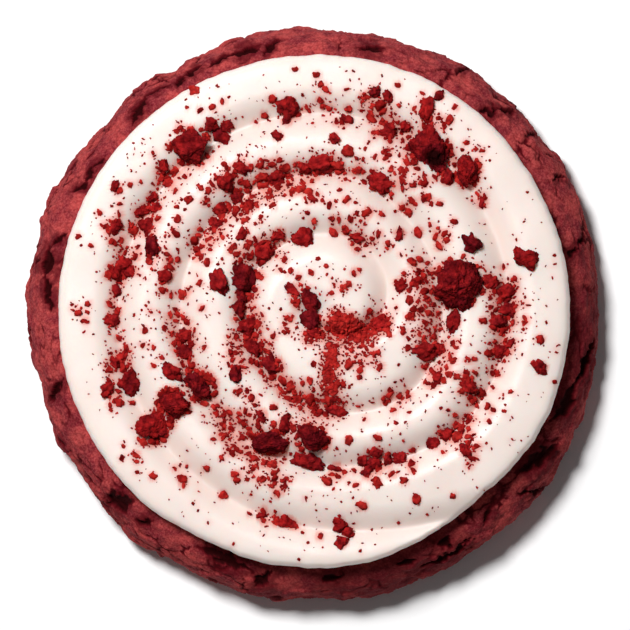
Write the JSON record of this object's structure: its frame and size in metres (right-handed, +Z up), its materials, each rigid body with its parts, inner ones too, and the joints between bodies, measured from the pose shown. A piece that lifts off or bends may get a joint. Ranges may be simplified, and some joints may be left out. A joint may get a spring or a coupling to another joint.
{
  "type": "iced cookie",
  "caption": "Thick round red velvet cookie with a cracked rim, a wound swirl of cream cheese icing on top and cake crumbs strewn over it.",
  "frame": {"origin": "centre of the cookie's flat underside, at the middle of its box in X and Y", "axes": "+Z up through the icing; +X to the right and +Y towards the top, seen from above with the icing's tail at the lower right"},
  "size_m": [0.112, 0.1122, 0.0287],
  "materials": {
    "cookie_dough": "baked red velvet crumb: dull, grainy, deep red with near-black cracks",
    "icing": "cream cheese icing: satin, pale cream with a hint of pink in the grooves",
    "cake_crumb": "crumbled red velvet cake: dull, porous, bright to dark red"
  },
  "bodies": {
    "root": {"cookie": "cookie_dough", "icing": "icing", "crumb_right": "cake_crumb", "crumb_top_right": "cake_crumb", "crumb_top_right_small": "cake_crumb", "crumb_top_left": "cake_crumb", "crumb_lower_left": "cake_crumb", "crumb_heart_upper": "cake_crumb", "crumb_heart_lower": "cake_crumb", "crumb_bottom_left": "cake_crumb", "crumb_bottom": "cake_crumb"}
  },
  "joints": []
}
